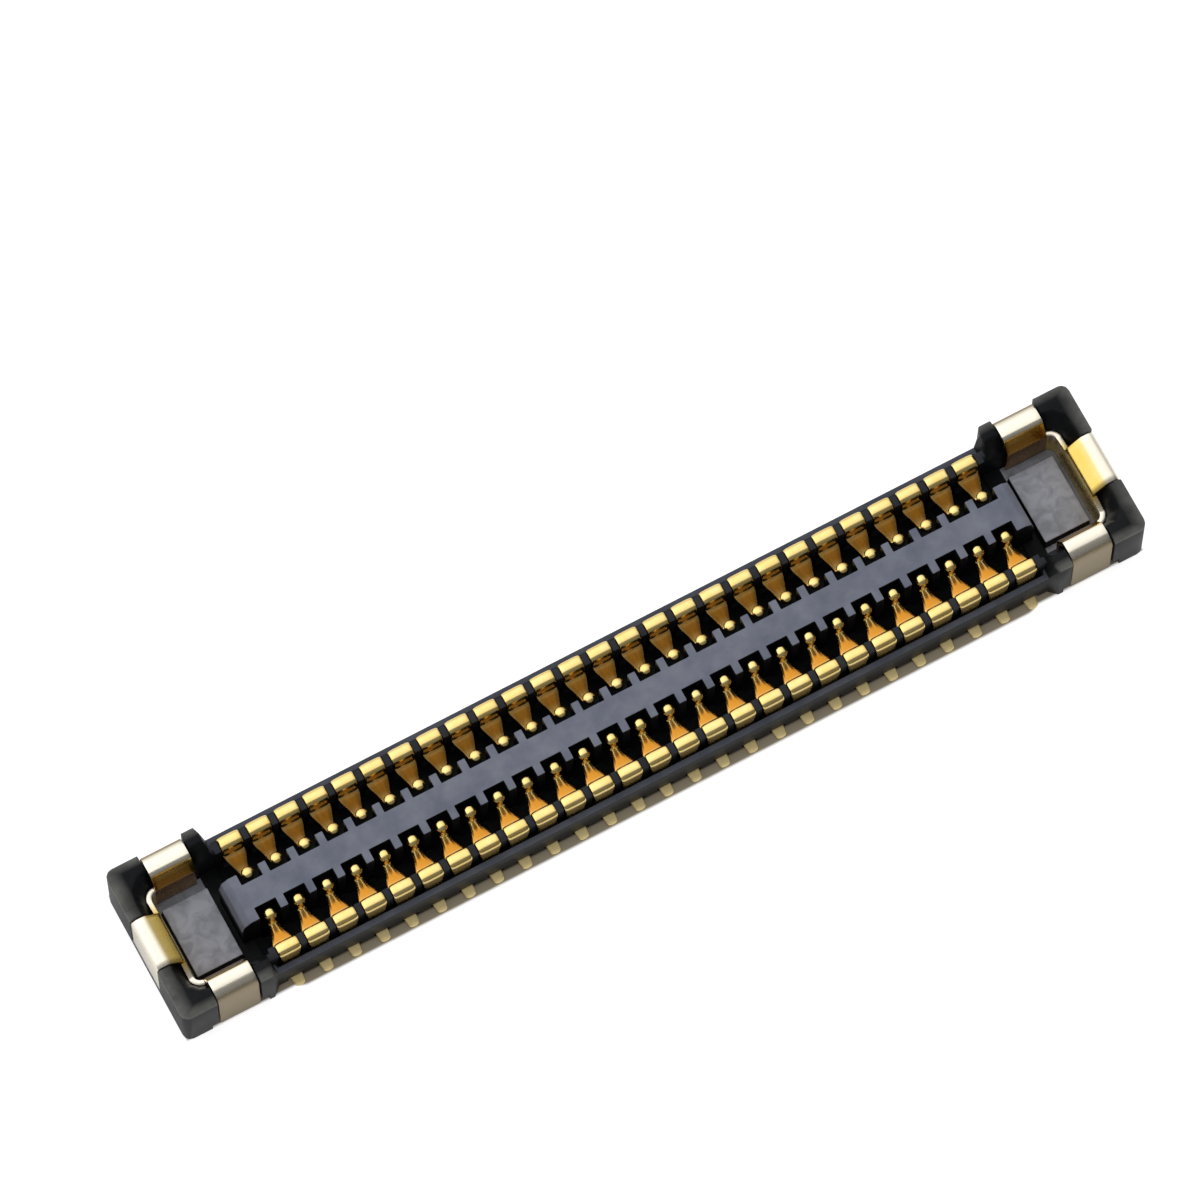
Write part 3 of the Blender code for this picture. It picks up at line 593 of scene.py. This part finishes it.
# The node's own solid, merged and cleared of flat edges, then rounded where its edges have room
def housingMesh(v):
    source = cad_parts["housing"]
    bm = bmesh.new()
    bm.from_mesh(source.data)
    bmesh.ops.transform(bm, matrix=Matrix.Scale(1 / mm, 4), verts=bm.verts)
    bmesh.ops.remove_doubles(bm, verts=bm.verts, dist=v["mergeDistance"])
    bmesh.ops.dissolve_limit(bm, angle_limit=math.radians(v["flatDeg"]), verts=bm.verts, edges=bm.edges)
    rounded = softenEdges(bm, v)
    openEdges = sum(1 for e in bm.edges if len(e.link_faces) != 2)
    print("housing edges:", rounded, "rounded,", openEdges, "open")
    bmesh.ops.triangulate(bm, faces=[f for f in bm.faces if len(f.verts) > 4])
    bmesh.ops.transform(bm, matrix=Matrix.Scale(mm, 4), verts=bm.verts)
    mesh = bpy.data.meshes.new("housingBody")
    bm.to_mesh(mesh)
    bm.free()
    return mesh


def mouldedBlack(v):
    material, tree, shader = startMaterial("mouldedBlack")
    spot = addNode(tree, "ShaderNodeTexCoord").outputs["Object"]
    # The zone gives texture and painted light on upward faces
    zone = addNode(tree, "ShaderNodeAttribute", attribute_name="textureAndPaintedLight").outputs["Fac"]
    cloud = addRange(tree, addNoise(tree, spot, v["cloudSize"], *v["cloudDetail"]), *noiseSpan, 0, 1)
    grain = addNoise(tree, spot, v["grainSize"], v["grainDetail"])
    polished = addColourMix(tree, cloud, v["dark"], v["darkLight"])
    place = addNode(tree, "ShaderNodeSeparateXYZ", {"Vector": spot}).outputs
    # Painted highlight on the blocks' outer top edges, fading inwards and downwards
    outward = [addSpan(tree, addMath(tree, "ABSOLUTE", place[axis]), span, 0, 1)
               for axis, span in v["edgeHighlightSpans"]]
    edgeHighlight = addMath(tree, "MAXIMUM", *outward)
    for factor in (addSpan(tree, place["Z"], v["edgeHighlightRise"], 0, 1),
                   addRange(tree, cloud, 0, 1, *v["edgeHighlightLevel"])):
        edgeHighlight = addMath(tree, "MULTIPLY", edgeHighlight, factor)
    polished = addColourMix(tree, edgeHighlight, polished, v["edgeHighlightGrey"])
    texturedAndLit = addColourMix(tree, cloud, v["slate"], v["slateLight"])
    flow = addNode(tree, "ShaderNodeTexNoise", {
        "Vector": spot,
        "Scale": 1 / (v["flowSize"] * mm),
        "Detail": v["flowDetail"],
        "Distortion": v["flowTwist"],
    }).outputs["Fac"]
    flow = addRange(tree, flow, *v["flowBand"], 0, 1)
    mottled = addColourMix(tree, flow, v["pocketLight"], v["pocketDark"])
    texturedAndLit = addColourMix(tree, addRange(tree, zone, 1, 2, 0, 1), texturedAndLit, mottled)
    pastMoat = addSpan(tree, addMath(tree, "ABSOLUTE", place["X"]), v["moat"], 0, 1)
    shown = addMath(tree, "MAXIMUM", pastMoat, addRange(tree, zone, 1, 2, 1, 0))
    zone = addMath(tree, "MULTIPLY", zone, shown)
    tree.links.new(addColourMix(tree, zone, polished, texturedAndLit), shader.inputs["Base Color"])
    rough = addColourMix(tree, zone, (v["smoothRough"],) * 3, (v["textureRough"],) * 3)
    tree.links.new(rough, shader.inputs["Roughness"])
    shader.inputs["Specular IOR Level"].default_value = v["specular"]
    addBump(tree, shader, grain, v["grainDepth"])
    return material


mouldingValues = {
    "dark": (0.005, 0.0056, 0.0065),
    "darkLight": (0.010, 0.011, 0.0125),
    "edgeHighlightGrey": (0.19, 0.19, 0.175),
    "edgeHighlightSpans": (("X", (6.60, 6.8)), ("Y", (0.95, 1.08))),  # a painted highlight, paler grey, on the blocks' outer top edges
    "edgeHighlightRise": (0.88, 0.96),
    "edgeHighlightLevel": (0.4, 1.0),
    "slate": (0.135, 0.145, 0.19),
    "slateLight": (0.205, 0.22, 0.265),
    "pocketLight": (0.36, 0.37, 0.42),
    "pocketDark": (0.25, 0.26, 0.29),
    "moat": (5.68, 5.70),  # the pocket floor stays polished up to here, round the end of the island
    "flowSize": 0.2,
    "flowDetail": 2.0,
    "flowTwist": 1.0,
    "flowBand": (0.38, 0.66),
    "cloudSize": 0.35,
    "cloudDetail": (4.0, 0.6),
    "grainSize": 0.03,
    "grainDetail": 2.0,
    "grainDepth": 0.0012,
    "smoothRough": 0.36,
    "textureRough": 0.62,
    "specular": 0.09,
}


def makeHousing(v, finish):
    mesh = housingMesh(v)
    count = len(mesh.polygons)
    centre, normal = np.empty(count * 3), np.empty(count * 3)
    mesh.polygons.foreach_get("center", centre)
    mesh.polygons.foreach_get("normal", normal)
    centre, normal = centre.reshape(-1, 3) / mm, normal.reshape(-1, 3)
    x, y, z = np.abs(centre[:, 0]), np.abs(centre[:, 1]), centre[:, 2]
    up = normal[:, 2]
    # Upward faces get the lighter zone tones: texture and painted light on the island and plateau, a painted
    # highlight on the rim and comb tops
    zone, level = np.zeros(count), v["zones"]
    rising = up > v["rising"]
    zone[(y > v["rimSide"]) & (x < v["blockFrom"]) & rising] = level["rim"]
    zone[(y > v["combSide"][0]) & (y < v["combSide"][1]) & (x < v["blockFrom"]) & rising] = level["comb"]
    inPocket = (x > v["islandEnd"]) & (y < v["pocketSide"]) & (z < v["plateauTop"] + v["margin"])
    zone[inPocket & rising] = level["plateau"]
    near = v["touching"]
    onIsland = (x < v["islandEnd"] + near) & (y < v["islandSide"] + near) & (z > v["islandFoot"])
    zone[onIsland & (up > v["islandRising"])] = level["island"]
    attribute = mesh.attributes.new("textureAndPaintedLight", "FLOAT", "FACE")
    attribute.data.foreach_set("value", zone.astype(np.float32))
    mesh.polygons.foreach_set("use_smooth", np.ones(count, dtype=bool))
    mesh.materials.append(mouldedBlack(finish))
    mesh.update()
    mesh.set_sharp_from_angle(angle=math.radians(v["shadeDeg"]))
    piece = bpy.data.objects.new("housingBody", mesh)
    bpy.context.scene.collection.objects.link(piece)
    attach(piece, "root")
    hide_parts("housing")
    print("housing made,", count, "faces")


# Floor and light
stageValues = {
    "floorHalf": 0.25,
    "floorDrop": 0.002 * mm,
    "floorColour": (0.86, 0.86, 0.86),
    "floorShadowUnder": (0.01, 0.01, 0.01),  # painted shadow under the body, which the holes show
    "floorShaded": (0.36, 0.31, 0.225),  # painted shadow on the strip between the tails
    "floorGlow": 0.62,
    "mirroredGlow": 0.2,
    "footHalf": (5.3, 1.1),  # painted shadow with no glow: the strip under the tails, and the body itself
    "footCorner": 0.2,
    "bodyHalf": (6.8, 1.08),
    "bodyEdge": (-0.14, -0.1),
    "shadeReach": (0.0, 0.04),  # the painted shadow fades and the glow comes up over this distance from the tails, in mm
    "worldLight": 0.62,
    "tentLevel": 0.70,
    "tentSlope": (-0.36, 0.04, 0.66),  # what the metal mirrors is brighter to the left and above
    "tentFront": (0.0, 0.26, 0.16),  # and dark in front, past these two depths, where the third share stays
    "lampSize": 0.15,
    "lampPower": 0.1,
    "lampPlace": (0.0, 0.045, 0.17),
}


# The share of the glow that each kind of ray sees: all of it straight on, and less in what mirrors it
def seenRay(tree, mirrored):
    path = addNode(tree, "ShaderNodeLightPath").outputs
    other = addMath(tree, "MAXIMUM", path["Is Glossy Ray"], path["Is Transmission Ray"])
    return addMath(tree, "MAXIMUM", path["Is Camera Ray"], addMath(tree, "MULTIPLY", other, mirrored))


def makeFloor(v):
    half = v["floorHalf"]
    mesh = bpy.data.meshes.new("floor")
    corners = [(x * half, y * half, -v["floorDrop"]) for x, y in ((-1, -1), (1, -1), (1, 1), (-1, 1))]
    mesh.from_pydata(corners, [], [(0, 1, 2, 3)])
    floor = bpy.data.objects.new("floor", mesh)
    bpy.context.scene.collection.objects.link(floor)
    material, tree, shader = startMaterial("floorWhite")
    shader.inputs["Roughness"].default_value = 1.0
    shader.inputs["Specular IOR Level"].default_value = 0.0
    shader.inputs["Emission Color"].default_value = (1, 1, 1, 1)
    spot = addNode(tree, "ShaderNodeTexCoord").outputs["Object"]
    place = addNode(tree, "ShaderNodeSeparateXYZ", {"Vector": spot}).outputs
    # Painted shadow: no glow and a darker floor on the strip between the tails and under the body
    size = [addMath(tree, "ABSOLUTE", place[axis]) for axis in "XY"]
    corner = v["footCorner"] * mm
    past = [addMath(tree, "MAXIMUM", addMath(tree, "SUBTRACT", size[k], v["footHalf"][k] * mm - corner), 0)
            for k in (0, 1)]
    pastBoth = addNode(tree, "ShaderNodeCombineXYZ", {"X": past[0], "Y": past[1]}).outputs["Vector"]
    reach = addNode(tree, "ShaderNodeVectorMath", {0: pastBoth}, operation="LENGTH").outputs["Value"]
    inset = v["shadeReach"][1]
    body = [addMath(tree, "SUBTRACT", size[k], (v["bodyHalf"][k] - inset) * mm) for k in (0, 1)]
    pastFoot = addMath(tree, "SUBTRACT", reach, corner)
    away = addMath(tree, "MINIMUM", pastFoot, addMath(tree, "MAXIMUM", *body))
    clear = addSpan(tree, away, v["shadeReach"], 0, v["floorGlow"])
    glow = addMath(tree, "MULTIPLY", seenRay(tree, v["mirroredGlow"]), clear)
    tree.links.new(glow, shader.inputs["Emission Strength"])
    out = [addSpan(tree, away, span, 0, 1) for span in (v["bodyEdge"], v["shadeReach"])]
    shaded = addColourMix(tree, out[0], v["floorShadowUnder"], v["floorShaded"])
    tree.links.new(addColourMix(tree, out[1], shaded, v["floorColour"]), shader.inputs["Base Color"])
    mesh.materials.append(material)


def makeLight(v):
    world = bpy.data.worlds.new("world")
    bpy.context.scene.world = world
    world.use_nodes = True
    tree = world.node_tree
    sky = tree.nodes["Background"]
    sky.inputs["Color"].default_value = (1, 1, 1, 1)
    toward = addNode(tree, "ShaderNodeTexCoord").outputs["Generated"]
    slope = addNode(tree, "ShaderNodeVectorMath", {0: toward, 1: v["tentSlope"]}, operation="DOT_PRODUCT")
    depth = addNode(tree, "ShaderNodeSeparateXYZ", {"Vector": toward}).outputs["Y"]
    front = addNode(tree, "ShaderNodeMapRange", {
        "Value": depth,
        "From Min": v["tentFront"][0],
        "From Max": v["tentFront"][1],
        "To Min": v["tentFront"][2],
    }, interpolation_type="SMOOTHSTEP").outputs["Result"]
    tent = addMath(tree, "MULTIPLY", front, addMath(tree, "ADD", slope.outputs["Value"], v["tentLevel"]))
    path = addNode(tree, "ShaderNodeLightPath")
    metal = addRange(tree, path.outputs["Is Glossy Ray"], 0, 1, v["worldLight"], tent)
    tree.links.new(addRange(tree, path.outputs["Is Camera Ray"], 0, 1, metal, 1.0), sky.inputs["Strength"])
    bpy.context.scene.view_settings.view_transform = "Standard"
    lamp = bpy.data.objects.new("softbox", bpy.data.lights.new("softbox", "AREA"))
    lamp.data.size = v["lampSize"]
    lamp.data.energy = v["lampPower"]
    lamp.location = v["lampPlace"]
    lamp.visible_glossy = False  # the metal mirrors the tent alone
    lamp.rotation_euler = Vector(v["lampPlace"]).to_track_quat("Z", "Y").to_euler()
    bpy.context.scene.collection.objects.link(lamp)
    print("floor and light placed")


makeCamera(cameraValues)
makeFloor(stageValues)
makeLight(stageValues)
makeContacts(contactValues, contactGoldValues)
makeFittings(fittingValues, fittingGoldValues)
makeHousing(housingValues, mouldingValues)
